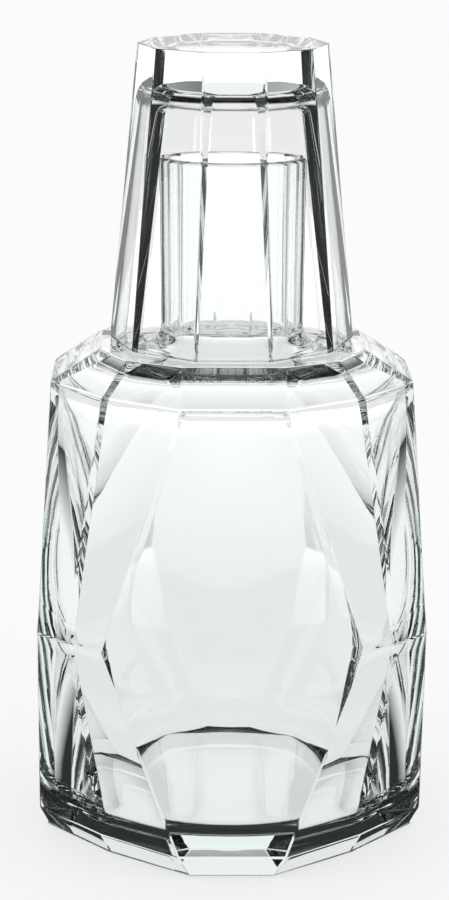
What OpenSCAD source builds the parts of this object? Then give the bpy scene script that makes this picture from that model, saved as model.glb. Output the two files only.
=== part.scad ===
// Bedside carafe in clear glass with its tumbler turned over the neck.
// Millimetres, +Z up, origin under the middle of the base, front towards -Y. The broad
// facets face along X and Y, and each section of the body is described by three
// measures: axis to broad facet, width of that facet, and axis to the corner crease.

/* [Carafe base] */
// Distance from the axis to a broad facet, under the foot
foot_flat = 49; // [44:0.1:51]
// Width of a broad facet, under the foot
foot_facet_w = 21.4; // [16:0.1:28]
// Distance from the axis to a corner crease, under the foot
foot_corner = 45.1; // [43.5:0.1:47.5]
// Height of the bevel round the foot
bevel_h = 5.8; // [3:0.1:8]
// Distance from the axis to a broad facet, above the bevel
heel_flat = 51.4; // [49.5:0.1:53.5]
// Width of a broad facet, above the bevel
heel_facet_w = 28; // [24:0.1:32]
// Distance from the axis to a corner crease, above the bevel
heel_corner = 48.6; // [47:0.1:51.5]

/* [Carafe body] */
// Height of the widest line, the girdle, above the table
girdle_h = 61.2; // [52:0.5:70]
// Distance from the axis to a broad facet, at the girdle
girdle_flat = 50.8; // [49.5:0.1:53]
// Width of a broad facet, at the girdle
girdle_facet_w = 68.1; // [60:0.1:71]
// Distance from the axis to a corner crease, at the girdle
girdle_corner = 60.3; // [60:0.1:62]
// Distance from the axis to a broad facet, at the shoulder ring
shoulder_flat = 47.5; // [45.5:0.1:49.5]
// Width of a broad facet, at the shoulder ring
shoulder_facet_w = 26.9; // [24:0.1:32]
// Distance from the axis to a corner crease, at the shoulder ring
shoulder_corner = 47.6; // [46:0.1:49.5]

/* [Carafe ledge] */
// Height of the flat ledge that the tumbler stands on, above the table
ledge_h = 132.3; // [120:0.5:145]
// Height from the shoulder ring up to the ledge
shoulder_drop = 8.2; // [5:0.1:14]
// Distance from the axis to a broad side of the ledge
ledge_flat = 34.9; // [34:0.1:37]
// Width of a broad side of the ledge
ledge_facet_w = 25.6; // [20:0.1:27]
// Distance from the axis to a corner of the ledge
ledge_corner = 39; // [37:0.1:40.5]

/* [Carafe neck] */
// Height of the neck above the ledge
neck_rise = 49.8; // [40:0.1:55]
// Width of the neck across its corners
neck_d = 37.4; // [35.5:0.1:39]
// Radius of the sweep from the ledge into the neck
neck_sweep_r = 5.8; // [3:0.1:7]
// Diameter of the bore through the neck
neck_bore_d = 30.4; // [28:0.1:31.5]
// Height of the rounding at the mouth and at the tumbler's rim
lip_r = 1; // [0.4:0.1:1.2]

/* [Carafe hollow] */
// Thickness of the glass under the hollow
floor_t = 9.5; // [7:0.5:14]
// Thickness of the side, near the floor
wall_heel = 6.8; // [5:0.1:9]
// Thickness of the side, at the girdle
wall_girdle = 4.8; // [3.5:0.1:7]
// Thickness of the side, at the shoulder
wall_shoulder = 4.2; // [3:0.1:5.5]
// Thickness of the glass under the ledge, at the foot of the neck
wall_ledge = 4.5; // [3.5:0.1:6]
// How far the roof of the hollow falls from the foot of the neck to the edge of the ledge
roof_fall = 2; // [1:0.1:4]
// Radius between the floor of the hollow and its side
floor_r = 9; // [6:0.5:12]

/* [Tumbler] */
// Number of flat sides round the tumbler
tumbler_sides = 10; // [8:1:12]
// Height of the tumbler
tumbler_h = 78.4; // [74:0.5:86]
// Width of the tumbler across its corners, at the rim
rim_d = 64.7; // [63:0.1:67]
// Width of the tumbler across its corners, at its base
tumbler_base_d = 50; // [48:0.1:53]
// Inner width of the tumbler between opposite sides, at the rim
rim_bore_d = 56.6; // [55:0.1:58]
// Inner width of the tumbler between opposite sides, near its floor
well_d = 38; // [37:0.1:41]
// Thickness of the glass in the base of the tumbler
tumbler_floor_t = 11.5; // [8:0.5:14]
// Radius between the floor of the tumbler and its side
well_r = 7; // [3:0.5:9]
// Clearance between the rim of the tumbler and the ledge
rim_gap = 0.3; // [0.1:0.1:1]

/* [Hidden] */
$fn = 96;

// The four quarters of the body are alike
quarters = 4;
neck_sides = 12;
arc_steps = 6;
shoulder_h = ledge_h - shoulder_drop;
mouth_h = ledge_h + neck_rise;
rim_h = ledge_h + rim_gap;
// How far the sweep at the foot of the bore turns before it runs out into the hollow, in degrees
sweep_turn = 60;
// How far a cut runs past the glass
overrun = 1;

// One section of the body: per quarter the two ends of a broad facet and a corner crease
function body_ring(z, flat, facet_w, corner) = [
    for (q = [0:quarters - 1])
        let (turn = q * 360 / quarters - 90)
            for (p = [[flat, -facet_w / 2], [flat, facet_w / 2], [corner * cos(45), corner * sin(45)]])
                [p[0] * cos(turn) - p[1] * sin(turn), p[0] * sin(turn) + p[1] * cos(turn), z]
];

// A regular section with a flat side facing the front, given by its width across corners
function even_ring(z, width, sides) = [
    for (i = [0:sides - 1])
        let (a = (i - 1 / 2) * 360 / sides - 90)
            [width / 2 * cos(a), width / 2 * sin(a), z]
];

// The section that lies a wall's thickness inside a section of the body
function inner_ring(z, flat, facet_w, corner, wall) =
    let (turn = atan2(flat - corner * cos(45), corner * sin(45) - facet_w / 2))
        body_ring(z, flat - wall, facet_w - 2 * wall * tan(turn / 2), corner - wall / cos(45 - turn));

// The skin over a stack of sections that all have the same number of points
module loft(rings) {
    n = len(rings[0]);
    last = len(rings) - 1;
    sides = [
        for (k = [0:last - 1])
            for (i = [0:n - 1])
                let (a = k * n + i, b = k * n + (i + 1) % n)
                    each [[a + n, b + n, b], [a + n, b, a]]
    ];
    polyhedron(
        points = [for (ring = rings) each ring],
        faces = concat([[for (i = [0:n - 1]) i]], sides, [[for (i = [n - 1:-1:0]) last * n + i]])
    );
}

// The carafe without its hollow, from the foot to the mouth
module carafe_outside() {
    sweep = [
        for (i = [0:arc_steps])
            let (a = 90 * i / arc_steps)
                even_ring(ledge_h + neck_sweep_r * (1 - cos(a)),
                    neck_d + 2 * neck_sweep_r * (1 - sin(a)), neck_sides)
    ];
    lip = [
        for (i = [0:arc_steps])
            let (a = 90 * i / arc_steps)
                even_ring(mouth_h - lip_r * (1 - sin(a)), neck_d - 2 * lip_r * (1 - cos(a)), neck_sides)
    ];
    loft(concat(
        [
            body_ring(0, foot_flat, foot_facet_w, foot_corner),
            body_ring(bevel_h, heel_flat, heel_facet_w, heel_corner),
            body_ring(girdle_h, girdle_flat, girdle_facet_w, girdle_corner),
            body_ring(shoulder_h, shoulder_flat, shoulder_facet_w, shoulder_corner),
            body_ring(ledge_h, ledge_flat, ledge_facet_w, ledge_corner)
        ],
        sweep, lip
    ));
}

// The hollow of the body, which follows the facets and closes just inside the bore of the neck
module carafe_hollow() {
    low_z = floor_t + floor_r;
    rise_share = (low_z - bevel_h) / (girdle_h - bevel_h);
    low_flat = heel_flat + (girdle_flat - heel_flat) * rise_share;
    low_facet_w = heel_facet_w + (girdle_facet_w - heel_facet_w) * rise_share;
    low_corner = heel_corner + (girdle_corner - heel_corner) * rise_share;
    roof_z = ledge_h - wall_ledge;
    round_up = [
        for (i = [0:arc_steps])
            let (a = 90 * i / arc_steps)
                inner_ring(low_z - floor_r * cos(a), low_flat, low_facet_w, low_corner,
                    wall_heel + floor_r * (1 - sin(a)))
    ];
    loft(concat(
        round_up,
        [
            inner_ring(girdle_h, girdle_flat, girdle_facet_w, girdle_corner, wall_girdle),
            inner_ring(shoulder_h - wall_shoulder / 2, shoulder_flat, shoulder_facet_w, shoulder_corner,
                wall_shoulder),
            inner_ring(roof_z - roof_fall, ledge_flat, ledge_facet_w, ledge_corner, wall_shoulder),
            even_ring(roof_z, neck_bore_d - 2 * overrun, neck_sides)
        ]
    ));
}

// The bore through the neck, swept out at its foot and opened by the round of the lip
module neck_bore() {
    bore_r = neck_bore_d / 2;
    sweep_z = ledge_h - wall_ledge + neck_sweep_r * sin(sweep_turn);
    foot = [
        for (i = [arc_steps:-1:0])
            let (a = sweep_turn * i / arc_steps)
                [bore_r + neck_sweep_r * (1 - cos(a)), sweep_z - neck_sweep_r * sin(a)]
    ];
    run_out = [foot[0][0] + neck_sweep_r * sin(sweep_turn), foot[0][1] - neck_sweep_r * cos(sweep_turn)];
    lip = [
        for (i = [0:arc_steps])
            let (a = 90 * i / arc_steps)
                [bore_r + lip_r * (1 - cos(a)), mouth_h - lip_r * (1 - sin(a))]
    ];
    rotate_extrude()
        polygon(concat(
            [[0, run_out[1]], run_out], foot, lip,
            [[bore_r + lip_r, mouth_h + overrun], [0, mouth_h + overrun]]
        ));
}

module carafe() {
    color([0.86, 0.92, 0.91, 0.55])
        difference() {
            carafe_outside();
            carafe_hollow();
            neck_bore();
        }
}

// The tumbler stands upside down on the ledge, over the neck
module tumbler_outside() {
    top_z = rim_h + tumbler_h;
    taper = (rim_d - tumbler_base_d) / tumbler_h;
    rim_round = [
        for (i = [0:arc_steps])
            let (a = 90 * i / arc_steps)
                even_ring(rim_h + lip_r * (1 - sin(a)),
                    rim_d - taper * lip_r * (1 - sin(a)) - 2 * lip_r * (1 - cos(a)), tumbler_sides)
    ];
    base_round = [
        for (i = [0:arc_steps])
            let (a = 90 * i / arc_steps)
                even_ring(top_z - lip_r * (1 - sin(a)), tumbler_base_d - 2 * lip_r * (1 - cos(a)), tumbler_sides)
    ];
    loft(concat([for (i = [arc_steps:-1:0]) rim_round[i]], base_round));
}

// The well of the tumbler: flat sides that lean in from the rim and a rounded edge to its floor
module tumbler_well() {
    floor_z = rim_h + tumbler_h - tumbler_floor_t;
    spread = 1 / cos(180 / tumbler_sides);
    lean = atan2(rim_bore_d - well_d, 2 * (floor_z - rim_h));
    round_up = [
        for (i = [0:arc_steps])
            let (a = lean + (90 - lean) * i / arc_steps)
                even_ring(floor_z - well_r * (1 - sin(a)), (well_d - 2 * well_r * (1 - cos(a))) * spread,
                    tumbler_sides)
    ];
    loft(concat(
        [
            even_ring(rim_h - overrun, (rim_bore_d + 2 * (lip_r + overrun)) * spread, tumbler_sides),
            even_ring(rim_h + lip_r, rim_bore_d * spread, tumbler_sides)
        ],
        round_up
    ));
}

module tumbler() {
    color([0.88, 0.94, 0.93, 0.55])
        difference() {
            tumbler_outside();
            tumbler_well();
        }
}

carafe();
tumbler();
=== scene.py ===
from math import atan2, cos, degrees, pi, radians, sin, tan

import bmesh
import bpy
from mathutils import Matrix, Vector


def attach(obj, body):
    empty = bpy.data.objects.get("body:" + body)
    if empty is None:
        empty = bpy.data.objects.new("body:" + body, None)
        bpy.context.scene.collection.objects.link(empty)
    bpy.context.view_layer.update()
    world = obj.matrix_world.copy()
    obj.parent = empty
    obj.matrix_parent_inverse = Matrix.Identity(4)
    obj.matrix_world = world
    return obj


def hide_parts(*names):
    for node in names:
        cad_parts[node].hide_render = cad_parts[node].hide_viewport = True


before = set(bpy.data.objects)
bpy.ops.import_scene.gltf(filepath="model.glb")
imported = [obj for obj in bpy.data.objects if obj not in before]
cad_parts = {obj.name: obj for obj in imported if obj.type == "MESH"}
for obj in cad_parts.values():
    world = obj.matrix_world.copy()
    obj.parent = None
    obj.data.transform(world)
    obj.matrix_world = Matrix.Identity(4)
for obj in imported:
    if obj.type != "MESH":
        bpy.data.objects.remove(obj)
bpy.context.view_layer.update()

# Carafe. One piece of clear pressed crystal: four broad facets and four creased corners that
# widen to a girdle, a bevelled foot, a flat ledge and a twelve-sided neck. Its edges are
# fire-polished, and the hollow inside follows the facets.
# Each level: height, axis to broad facet, width of that facet, axis to corner crease
foot = (0, 0.049, 0.0214, 0.0451)
heel = (0.0058, 0.0514, 0.028, 0.0486)
girdle = (0.0612, 0.0508, 0.0681, 0.0603)
shoulder = (0.1241, 0.0475, 0.0269, 0.0476)
ledge = (0.1323, 0.0349, 0.0256, 0.039)
levels = (foot, heel, girdle, shoulder, ledge)
neck_sides = 12
neck_r = 0.0187
neck_sweep_r = 0.0058
mouth_h = 0.1821
bore_r = 0.0152
lip_r = 0.001
crease_round = 0.0004
# Faces that meet at less than this, in degrees, have no crease to polish
least_crease = 5

# The hollow: its floor and roof, and the glass beside it near the floor, at the girdle and above
hollow_floor = 0.008
hollow_floor_r = 0.009
wall_heel = 0.0068
wall_girdle = 0.0048
wall_shoulder = 0.0042
hollow_roof = 0.1278
# How far inside the ledge the edge of the roof lies
roof_inset = 0.0008
# The glass at a corner crease, as a share of the glass at a broad facet
corner_wall = 0.8
# How steeply the facets beside a corner of the hollow fall away from the broad facet
hollow_slope = 0.63
# The heights between which those facets soften
soft_from = 0.122
soft_to = 0.08
# Cells along the hollow, between shoulder and girdle and between girdle and floor
hollow_steps = 8
# Cells along each long side of the facets outside, and what counts as long
side_cells = 32
long_side = 0.03
# Facets that face less than this from square, in degrees, are broad ones and are shaded flat
broad_turn = 4
# How much a face's normal points up or down before the face counts as level
level_face = 0.9

# Steps of the roundings: the creases, the lips, and the sweep from the ledge to the neck
crease_steps = 3
lip_steps = 4
sweep_steps = 10
# Cells round the hollow's lip and round its sweep under the ledge, where that sweep ends, in
# degrees from outwards to up, and the turn of each cell round the edge of the floor
lip_cells = 5
sweep_cells = 7
sweep_end = 250
floor_turn = 6
# Cuts across each flat side of a rim, and the length above which an edge there is a flat side
rim_cuts = 9
flat_edge = 0.004
# Points of a rim that are nearer to a corner than this, in sides, lie on the rounding of an
# outer crease, and in the hollow they keep this share of that distance
rounding = 0.08
rounding_kept = 0.12
# An edge runs down a corner if its ends' places differ by less than this and are as near to it
same_place = 0.0001
near_corner = 0.02


def ring_edges(verts):
    """The edges of a closed ring of points, in the same order each run."""
    ring = set(verts)
    return list(dict.fromkeys(e for v in verts for e in v.link_edges if e.other_vert(v) in ring))


def facet_corners(flat, facet_w, corner):
    """The twelve corners of a section: per quarter the ends of a broad facet and a crease."""
    diagonal = corner * cos(pi / 4)
    first = [(-facet_w / 2, -flat), (facet_w / 2, -flat), (diagonal, -diagonal)]
    return [Matrix.Rotation(quarter * pi / 2, 2) @ Vector(p) for quarter in range(4) for p in first]


def facet_section(glass, height, *measures):
    """One section of the body as a ring of points."""
    ring = bmesh.ops.create_circle(glass, segments=12, radius=1)["verts"]
    for v, corner in zip(ring, facet_corners(*measures)):
        v.co = (corner.x, corner.y, height)
    return ring


def even_section(glass, height, radius, sides):
    """A regular section with a flat side to the front."""
    ring = bmesh.ops.create_circle(glass, segments=sides, radius=radius)["verts"]
    for i, v in enumerate(ring):
        a = (i - 0.5) * 2 * pi / sides - pi / 2
        v.co = (radius * cos(a), radius * sin(a), height)
    return ring


def skin(glass, rings):
    """Bridges each ring of points to the next."""
    for a, b in zip(rings, rings[1:]):
        bmesh.ops.bridge_loops(glass, edges=ring_edges(a) + ring_edges(b))


def sink_hollow(glass, line, sides):
    """Draws the open rim inwards and down the line of the hollow.

    Each step of the line is a section, a height and whether its creases are crisp. Those at
    the carafe's four corners, each third one, always are. Every point keeps its place between
    two corners, so that the creases of the hollow run with the mesh. Points that lie on the
    rounding of an outer crease are drawn close to the corner.
    """
    flat_sides = [e for e in glass.edges if e.is_boundary and e.calc_length() > flat_edge]
    bmesh.ops.subdivide_edges(glass, edges=flat_sides, cuts=rim_cuts)
    outer = [e for e in glass.edges if e.is_boundary]
    place = glass.verts.layers.float.new("place")
    for v in {v for e in outer for v in e.verts}:
        at = (degrees(atan2(v.co.y, v.co.x)) / 360 * sides + sides / 4 + 0.5) % sides
        off = at - round(at)
        v[place] = at if abs(off) > rounding else round(at) + off * rounding_kept
    for k, (section, height, crisp) in enumerate(line):
        old = set(glass.faces)
        bmesh.ops.extrude_edge_only(glass, edges=[e for e in glass.edges if e.is_boundary])
        for v in {v for e in glass.edges if e.is_boundary for v in e.verts}:
            v.co.xy = section(v[place] % sides)
            v.co.z = height
        for f in glass.faces:
            if f not in old:
                f.smooth = k > 0
                for e in f.edges:
                    a, b = (v[place] for v in e.verts)
                    crease = abs(a - b) < same_place and abs(a - round(a)) < near_corner
                    if crease and (crisp or round(a) % 3 == 2):
                        e.smooth = False
    bmesh.ops.contextual_create(glass, geom=[e for e in glass.edges if e.is_boundary])
    fire_polish(glass, outer, lip_r, lip_steps)


def fire_polish(glass, edges, width, steps):
    """Rounds edges as the flame does, shades the rounding smooth and returns its faces."""
    faces = bmesh.ops.bevel(
        glass, geom=edges, offset=width, offset_type="OFFSET", affect="EDGES",
        segments=steps, profile=0.5, material=-1, clamp_overlap=False)["faces"]
    for f in faces:
        f.smooth = True
    return faces


def sharp_creases(glass):
    """The creases between faces, off the round parts."""
    return [
        e for e in glass.edges
        if len(e.link_faces) == 2 and e.calc_face_angle(0) > radians(least_crease)
        and not any(f.smooth for f in e.link_faces)]


def shade_borders(glass):
    """Keeps the shading of the roundings off the flat faces beside them."""
    for e in glass.edges:
        if len({f.smooth for f in e.link_faces}) > 1:
            e.smooth = False


def settle_order(glass):
    """Puts edges and faces in the order of their points, as the bevel's order varies by run."""
    glass.verts.index_update()
    points = len(glass.verts)
    for parts in (glass.edges, glass.faces):
        parts.sort(key=lambda part: sum(
            i * points**k for i, k in zip(sorted(v.index for v in part.verts), (2, 1, 0))))


def finish_glass(glass, body, slot, material):
    """Turns a closed shell outwards and hands it to the CAD body."""
    bmesh.ops.recalc_face_normals(glass, faces=glass.faces)
    settle_order(glass)
    mesh = bpy.data.meshes.new(slot)
    glass.to_mesh(mesh)
    glass.free()
    piece = bpy.data.objects.new(slot, mesh)
    mesh.materials.append(material)
    bpy.context.scene.collection.objects.link(piece)
    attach(piece, body)
    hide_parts(body)
    return piece


def along(corners, at):
    """The point at a place between two corners of a section."""
    return corners[int(at)].lerp(corners[(int(at) + 1) % len(corners)], at % 1)


def inner_section(height, wall):
    """The hollow's section at a height, with a firm crease at each corner.

    Low down the three flats between two corners soften into one shallow curve.
    """
    low, high = next(pair for pair in zip(levels, levels[1:]) if height <= pair[1][0])
    rise = (height - low[0]) / (high[0] - low[0])
    flat = low[1] + (high[1] - low[1]) * rise - wall
    half = (low[3] + (high[3] - low[3]) * rise - corner_wall * wall) * cos(pi / 4)
    corners = facet_corners(flat, 2 * half - 2 * (flat - half) / hollow_slope, half / cos(pi / 4))
    quarters = [Matrix.Rotation(i * pi / 2, 2) for i in range(4)]
    fall = min(max((soft_from - height) / (soft_from - soft_to), 0), 1)
    softness = 3 * fall**2 - 2 * fall**3

    def section(at):
        point = along(corners, at)
        quarter = quarters[int((at + 1) % 12 // 3)]
        side = (quarter.transposed() @ point).x
        curve = Vector((side, (flat - half) * (side / half)**2 - flat))
        return point.lerp(quarter @ curve, softness)
    return section


def round_section(reach):
    """A round section of the bore."""
    def section(at):
        turn = (at - 0.5) * 2 * pi / neck_sides - pi / 2
        return Vector((cos(turn), sin(turn))) * reach
    return section


def arc(r, z, radius, start, end, steps):
    """Reach and height along an arc about a centre, angles in degrees from outwards to up."""
    return [
        (r + radius * cos(radians(start + (end - start) * i / steps)),
         z + radius * sin(radians(start + (end - start) * i / steps))) for i in range(steps + 1)]


def press_marks():
    """Node group: the faint waviness and the wiped film of pressed glass."""
    group = bpy.data.node_groups.new("pressed_glass_surface", "ShaderNodeTree")
    face = group.interface
    for label in ("Wave Scale", "Film Scale", "Film Roughness"):
        face.new_socket(label, in_out="INPUT", socket_type="NodeSocketFloat")
    for label in ("Roughness", "Height"):
        face.new_socket(label, in_out="OUTPUT", socket_type="NodeSocketFloat")
    nodes, links = group.nodes, group.links
    given, put = nodes.new("NodeGroupInput"), nodes.new("NodeGroupOutput")
    where = nodes.new("ShaderNodeTexCoord")
    wave, film = nodes.new("ShaderNodeTexNoise"), nodes.new("ShaderNodeTexNoise")
    wave.inputs["Detail"].default_value = 1
    film.inputs["Detail"].default_value = 4
    film.inputs["Distortion"].default_value = 1.5
    spread = nodes.new("ShaderNodeMapRange")
    spread.inputs["From Min"].default_value = 0.45
    spread.inputs["From Max"].default_value = 0.8
    links.new(where.outputs["Object"], wave.inputs["Vector"])
    links.new(where.outputs["Object"], film.inputs["Vector"])
    links.new(given.outputs["Wave Scale"], wave.inputs["Scale"])
    links.new(given.outputs["Film Scale"], film.inputs["Scale"])
    links.new(film.outputs["Fac"], spread.inputs["Value"])
    links.new(given.outputs["Film Roughness"], spread.inputs["To Max"])
    links.new(spread.outputs["Result"], put.inputs["Roughness"])
    links.new(wave.outputs["Fac"], put.inputs["Height"])
    return group


pressed_surface = press_marks()


def clear_crystal(name, wave_scale, film_scale, film_roughness, tint, tint_density):
    """Clear crystal with a faint cool tint in its thickness."""
    material = bpy.data.materials.new(name)
    material.use_nodes = True
    nodes, links = material.node_tree.nodes, material.node_tree.links
    shader = nodes["Principled BSDF"]
    shader.inputs["Base Color"].default_value = (1, 1, 1, 1)
    shader.inputs["IOR"].default_value = 1.53
    shader.inputs["Transmission Weight"].default_value = 1
    marks = nodes.new("ShaderNodeGroup")
    marks.node_tree = pressed_surface
    marks.inputs["Wave Scale"].default_value = wave_scale
    marks.inputs["Film Scale"].default_value = film_scale
    marks.inputs["Film Roughness"].default_value = film_roughness
    bump = nodes.new("ShaderNodeBump")
    bump.inputs["Strength"].default_value = 0.2
    bump.inputs["Distance"].default_value = 0.0002
    links.new(marks.outputs["Height"], bump.inputs["Height"])
    links.new(bump.outputs["Normal"], shader.inputs["Normal"])
    links.new(marks.outputs["Roughness"], shader.inputs["Roughness"])
    depth = nodes.new("ShaderNodeVolumeAbsorption")
    depth.inputs["Color"].default_value = tint
    depth.inputs["Density"].default_value = tint_density
    links.new(depth.outputs["Volume"], nodes["Material Output"].inputs["Volume"])
    return material


carafe = bmesh.new()
rings = [facet_section(carafe, *level) for level in levels]
neck_foot = even_section(carafe, ledge[0], neck_r, neck_sides)
mouth = even_section(carafe, mouth_h, neck_r, neck_sides)
skin(carafe, rings + [neck_foot, mouth])
carafe.faces.new(rings[0])
fire_polish(carafe, ring_edges(neck_foot), neck_sweep_r, sweep_steps)
fire_polish(carafe, sharp_creases(carafe), crease_round, crease_steps)

low = hollow_floor + hollow_floor_r
line = [(round_section(reach), height, False) for reach, height in (
    arc(bore_r + lip_r, mouth_h - lip_r, lip_r, 90, 180, lip_cells)
    + arc(bore_r + neck_sweep_r, hollow_roof + neck_sweep_r, neck_sweep_r, 180, sweep_end,
          sweep_cells))]
line += [
    (inner_section(ledge[0], roof_inset), hollow_roof, True),
    (inner_section(shoulder[0], wall_shoulder), shoulder[0] - wall_shoulder / 2, True)]
for i in range(1, hollow_steps + 1):
    share = i / hollow_steps
    height = shoulder[0] + (girdle[0] - shoulder[0]) * share
    line.append((inner_section(height, wall_shoulder + (wall_girdle - wall_shoulder) * share),
                 height, height > soft_from))
for i in range(1, hollow_steps + 1):
    share = i / (hollow_steps + 1)
    height = girdle[0] + (low - girdle[0]) * share
    line.append((inner_section(height, wall_girdle + (wall_heel - wall_girdle) * share),
                 height, False))
for a in range(0, 91, floor_turn):
    line.append((inner_section(low, wall_heel + hollow_floor_r * (1 - cos(radians(a)))),
                 low - hollow_floor_r * sin(radians(a)), False))
sink_hollow(carafe, line, neck_sides)
long_edges = [
    e for e in carafe.edges
    if abs(e.verts[0].co.z - e.verts[1].co.z) > long_side
    and max(v.co.z for v in e.verts) < ledge[0]]
bmesh.ops.subdivide_edges(carafe, edges=long_edges, cuts=side_cells - 1, use_grid_fill=True)
shade_borders(carafe)
for f in carafe.faces:
    if not f.smooth and abs(f.normal.z) < level_face and f.calc_center_median().z < ledge[0]:
        turn = degrees(atan2(f.normal.y, f.normal.x)) % 90
        f.smooth = broad_turn < turn < 90 - broad_turn
carafe_glass = clear_crystal(
    "carafe_glass", wave_scale=70, film_scale=25, film_roughness=0.001,
    tint=(0.82, 0.93, 0.93, 1), tint_density=5)
finish_glass(carafe, "carafe", "carafe_glass", carafe_glass)

# Tumbler. A thick-based ten-sided tumbler of the same crystal, turned over the neck so that its
# rim stands on the ledge. It is loose, and it is pressed and fire-polished as the carafe is.
tumbler_sides = 10
rim_h = 0.1326
tumbler_top = 0.211
rim_outer_r = 0.03235
base_outer_r = 0.025
# Axis to a flat side of the well, at the rim and near its floor, which has a rounded edge
rim_bore_r = 0.0283
well_r = 0.019
well_floor = 0.1995
well_edge_r = 0.007
well_edge_cells = 10
# How far the sides of the well go from flat towards round, and how far that round stands out
well_swell = 0.2
swell_reach = 1.02


def well_point(at, reach):
    """A point of the well, at a place between two corners."""
    turn = (at - 0.5) * 2 * pi / tumbler_sides - pi / 2
    return Matrix.Rotation(turn, 2) @ Vector((reach, 0))


def well_section(reach):
    """A section of the well: sides that swell a little, with a crease at each corner."""
    def section(at):
        return along(well_corners, at).lerp(well_point(at, swell_reach), well_swell) * reach
    return section


tumbler = bmesh.new()
rim_ring = even_section(tumbler, rim_h, rim_outer_r, tumbler_sides)
base_ring = even_section(tumbler, tumbler_top, base_outer_r, tumbler_sides)
skin(tumbler, [rim_ring, base_ring])
tumbler.faces.new(base_ring)
fire_polish(tumbler, sharp_creases(tumbler), crease_round, crease_steps)
lean = degrees(atan2(rim_bore_r - well_r, well_floor - rim_h))
well_corners = [well_point(i, 1 / cos(pi / tumbler_sides)) for i in range(tumbler_sides)]
line = (
    arc(rim_bore_r + lip_r, rim_h + lip_r, lip_r, -90, -180, lip_cells)
    + arc(well_r - well_edge_r, well_floor - well_edge_r, well_edge_r, lean, 90,
          well_edge_cells))
sink_hollow(
    tumbler, [(well_section(reach), height, True) for reach, height in line], tumbler_sides)
shade_borders(tumbler)
tumbler_glass = clear_crystal(
    "tumbler_glass", wave_scale=80, film_scale=30, film_roughness=0.001,
    tint=(0.82, 0.93, 0.93, 1), tint_density=5)
finish_glass(tumbler, "tumbler", "tumbler_glass", tumbler_glass)

# Table and room. A white table that keeps the glass's shadow, and plain soft light all round.
# Through the glass the table glows, with painted shade that makes it a shade greyer near the set
# and painted light that makes it brighter beyond. Light that was reflected in the glass finds a
# dark room, with a lit backdrop and the back half of the table, which glows with painted light.
# How far a heading points to the back, level, where the backdrop and the back half begin
backdrop_from, backdrop_to = 0.92, 0.98
back_half_from, back_half_to = 0.25, 0.65
# The room's strength beside the backdrop, for reflected light
dark_room = 0.03
# The table through the glass, a glow with painted shade near the set and painted light far off: its
# strength near the set and far off, and the step of painted light at its edge
table_shade_near, table_glow_far = 0.96, 1.4
table_edge, table_end = 0.2, 0.75
edge_glow_step, edge_blur = 0.05, 0.004
# How much of the table's white is its own, so that the shadow on it stays pale
own_white = 0.7
# Above these heights of a heading the room's ceiling is dark
ceiling_from, ceiling_to = 0.5, 0.8
dark_ceiling = 0.02
# The table's half width, and how far it lies under the foot, so that the two faces stay apart
table_half = 4
table_drop = 0.0004


def lit_sides():
    """Node group: masks of the headings towards the backdrop and towards the back half."""
    group = bpy.data.node_groups.new("lit_sides", "ShaderNodeTree")
    group.interface.new_socket("Vector", in_out="INPUT", socket_type="NodeSocketVector")
    group.interface.new_socket("Backdrop", in_out="OUTPUT", socket_type="NodeSocketFloat")
    group.interface.new_socket("Back Half", in_out="OUTPUT", socket_type="NodeSocketFloat")
    nodes, links = group.nodes, group.links
    given, put = nodes.new("NodeGroupInput"), nodes.new("NodeGroupOutput")
    level, heading = nodes.new("ShaderNodeVectorMath"), nodes.new("ShaderNodeVectorMath")
    level.operation = "MULTIPLY"
    level.inputs[1].default_value = (1, 1, 0)
    heading.operation = "NORMALIZE"
    parts = nodes.new("ShaderNodeSeparateXYZ")
    edge, half = nodes.new("ShaderNodeMapRange"), nodes.new("ShaderNodeMapRange")
    edge.inputs["From Min"].default_value = backdrop_from
    edge.inputs["From Max"].default_value = backdrop_to
    half.inputs["From Min"].default_value = back_half_from
    half.inputs["From Max"].default_value = back_half_to
    links.new(given.outputs["Vector"], level.inputs[0])
    links.new(level.outputs["Vector"], heading.inputs[0])
    links.new(heading.outputs["Vector"], parts.inputs["Vector"])
    links.new(parts.outputs["Y"], edge.inputs["Value"])
    links.new(parts.outputs["Y"], half.inputs["Value"])
    links.new(edge.outputs["Result"], put.inputs["Backdrop"])
    links.new(half.outputs["Result"], put.inputs["Back Half"])
    return group


backdrops = lit_sides()


def strength_in_glass(nodes, links, ray, where, plain, side):
    """Plain strength for light that goes straight through, and a mask for reflected light.

    Inside the glass the named side is the mask, and off its outside always the back half.
    """
    sides = nodes.new("ShaderNodeGroup")
    sides.node_tree = backdrops
    links.new(where, sides.inputs["Vector"])
    dim = nodes.new("ShaderNodeMapRange")
    dim.inputs["To Min"].default_value = dark_room
    dim.inputs["To Max"].default_value = 1
    inside, lit = nodes.new("ShaderNodeMath"), nodes.new("ShaderNodeMapRange")
    inside.operation = "GREATER_THAN"
    inside.inputs[1].default_value = 0.5
    links.new(ray.outputs["Transmission Depth"], inside.inputs[0])
    links.new(inside.outputs["Value"], lit.inputs["Value"])
    links.new(sides.outputs["Back Half"], lit.inputs["To Min"])
    links.new(sides.outputs[side], lit.inputs["To Max"])
    links.new(lit.outputs["Result"], dim.inputs["Value"])
    reflected = nodes.new("ShaderNodeMath")
    reflected.operation = "GREATER_THAN"
    reflected.inputs[1].default_value = 0.5
    links.new(ray.outputs["Glossy Depth"], reflected.inputs[0])
    pick = nodes.new("ShaderNodeMapRange")
    links.new(reflected.outputs["Value"], pick.inputs["Value"])
    links.new(plain, pick.inputs["To Min"])
    links.new(dim.outputs["Result"], pick.inputs["To Max"])
    return pick.outputs["Result"]


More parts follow.
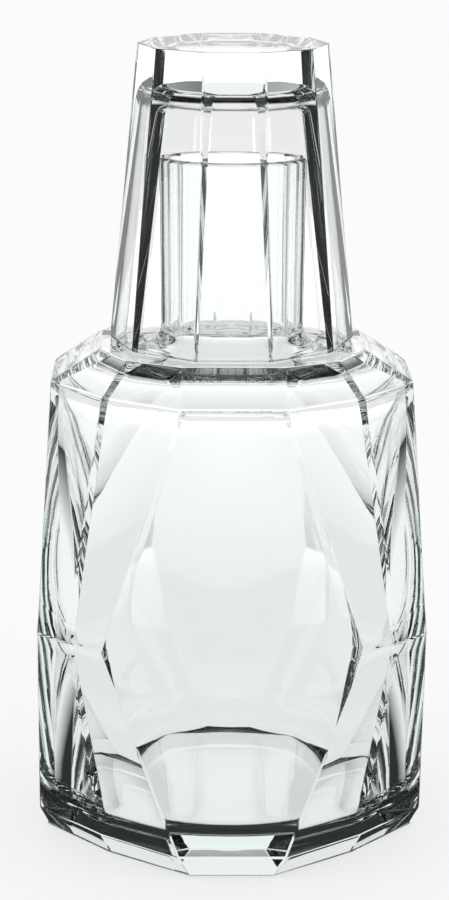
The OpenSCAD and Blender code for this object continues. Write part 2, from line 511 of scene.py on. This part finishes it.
floor_mesh = bmesh.new()
bmesh.ops.create_grid(floor_mesh, x_segments=1, y_segments=1, size=table_half)
bmesh.ops.translate(floor_mesh, verts=floor_mesh.verts, vec=(0, 0, -table_drop))
mesh = bpy.data.meshes.new("table")
floor_mesh.to_mesh(mesh)
floor_mesh.free()
table = bpy.data.objects.new("table", mesh)
bpy.context.scene.collection.objects.link(table)
table_paint = bpy.data.materials.new("table_paint")
table_paint.use_nodes = True
mesh.materials.append(table_paint)
nodes, links = table_paint.node_tree.nodes, table_paint.node_tree.links
matt = nodes["Principled BSDF"]
matt.inputs["Base Color"].default_value = (0.9, 0.9, 0.9, 1)
matt.inputs["Roughness"].default_value = 0.9
matt.inputs["Specular IOR Level"].default_value = 0
ray = nodes.new("ShaderNodeLightPath")
where = nodes.new("ShaderNodeTexCoord")
reach, parts = nodes.new("ShaderNodeVectorMath"), nodes.new("ShaderNodeSeparateXYZ")
reach.operation = "ABSOLUTE"
links.new(where.outputs["Object"], reach.inputs[0])
links.new(reach.outputs["Vector"], parts.inputs["Vector"])
farthest = nodes.new("ShaderNodeMath")
farthest.operation = "MAXIMUM"
links.new(parts.outputs["X"], farthest.inputs[0])
links.new(parts.outputs["Y"], farthest.inputs[1])
# Strength of the table's glow through the glass: painted shade near the set, painted light far off,
# and a step of painted light at the edge
rising, edge = nodes.new("ShaderNodeMapRange"), nodes.new("ShaderNodeMapRange")
rising.inputs["From Min"].default_value = table_edge
rising.inputs["From Max"].default_value = table_end
rising.inputs["To Min"].default_value = table_shade_near
rising.inputs["To Max"].default_value = table_glow_far
edge.inputs["From Min"].default_value = table_edge - edge_blur
edge.inputs["From Max"].default_value = table_edge + edge_blur
edge.inputs["To Max"].default_value = edge_glow_step
links.new(farthest.outputs["Value"], rising.inputs["Value"])
links.new(farthest.outputs["Value"], edge.inputs["Value"])
beyond = nodes.new("ShaderNodeMath")
links.new(rising.outputs["Result"], beyond.inputs[0])
links.new(edge.outputs["Result"], beyond.inputs[1])
# The table's glow through and in the glass, with painted shade near the set and painted light far
# off and on its back half
glow, in_glass = nodes.new("ShaderNodeEmission"), nodes.new("ShaderNodeEmission")
glow.inputs["Color"].default_value = (1, 1, 1, 1)
in_glass.inputs["Color"].default_value = (0.97, 1, 0.99, 1)
table_strength = strength_in_glass(
    nodes, links, ray, where.outputs["Object"], beyond.outputs["Value"], "Back Half")
links.new(table_strength, in_glass.inputs["Strength"])
share = nodes.new("ShaderNodeMath")
share.operation = "MULTIPLY"
share.inputs[1].default_value = own_white
links.new(ray.outputs["Is Camera Ray"], share.inputs[0])
seen = nodes.new("ShaderNodeMath")
seen.operation = "MAXIMUM"
links.new(ray.outputs["Is Glossy Ray"], seen.inputs[0])
links.new(ray.outputs["Is Transmission Ray"], seen.inputs[1])
paint, view = nodes.new("ShaderNodeMixShader"), nodes.new("ShaderNodeMixShader")
links.new(share.outputs["Value"], paint.inputs["Fac"])
links.new(matt.outputs["BSDF"], paint.inputs[1])
links.new(glow.outputs["Emission"], paint.inputs[2])
links.new(seen.outputs["Value"], view.inputs["Fac"])
links.new(paint.outputs["Shader"], view.inputs[1])
links.new(in_glass.outputs["Emission"], view.inputs[2])
links.new(view.outputs["Shader"], nodes["Material Output"].inputs["Surface"])

world = bpy.data.worlds.new("white_room")
bpy.context.scene.world = world
world.use_nodes = True
nodes, links = world.node_tree.nodes, world.node_tree.links
heading = nodes.new("ShaderNodeTexCoord")
parts = nodes.new("ShaderNodeSeparateXYZ")
fade = nodes.new("ShaderNodeMapRange")
fade.inputs["From Min"].default_value = ceiling_from
fade.inputs["From Max"].default_value = ceiling_to
fade.inputs["To Min"].default_value = 1
fade.inputs["To Max"].default_value = dark_ceiling
ray = nodes.new("ShaderNodeLightPath")
plain = nodes.new("ShaderNodeMath")
plain.operation = "MAXIMUM"
shade = nodes.new("ShaderNodeMath")
shade.operation = "MAXIMUM"
even = nodes.new("ShaderNodeValue")
even.outputs["Value"].default_value = 1
links.new(heading.outputs["Generated"], parts.inputs["Vector"])
links.new(parts.outputs["Z"], fade.inputs["Value"])
links.new(ray.outputs["Is Camera Ray"], plain.inputs[0])
links.new(ray.outputs["Is Diffuse Ray"], plain.inputs[1])
links.new(plain.outputs["Value"], shade.inputs[0])
links.new(fade.outputs["Result"], shade.inputs[1])
links.new(shade.outputs["Value"], nodes["Background"].inputs["Color"])
room_strength = strength_in_glass(
    nodes, links, ray, heading.outputs["Generated"], even.outputs["Value"], "Backdrop")
links.new(room_strength, nodes["Background"].inputs["Strength"])

bpy.context.scene.view_settings.view_transform = "Standard"
bpy.context.scene.cycles.max_bounces = 24
bpy.context.scene.cycles.transmission_bounces = 24
bpy.context.scene.cycles.glossy_bounces = 24

# Camera, at the photograph's height and angle
lens = bpy.data.cameras.new("photo_camera")
lens.sensor_fit = "VERTICAL"
lens.sensor_height = 36
lens.lens = 120.79
lens.clip_end = 20
photo_camera = bpy.data.objects.new("photo_camera", lens)
bpy.context.scene.collection.objects.link(photo_camera)
ahead = Vector((0.01458, 0.97102, -0.23853)).normalized()
right = ahead.cross(Vector((0, 0, 1))).normalized()
right = Matrix.Rotation(radians(-0.31), 3, ahead) @ right
above = right.cross(ahead)
photo_camera.matrix_world = Matrix.Translation((-0.01351, -0.78596, 0.29513)) @ Matrix(
    (right, above, -ahead)).transposed().to_4x4()
bpy.context.scene.camera = photo_camera
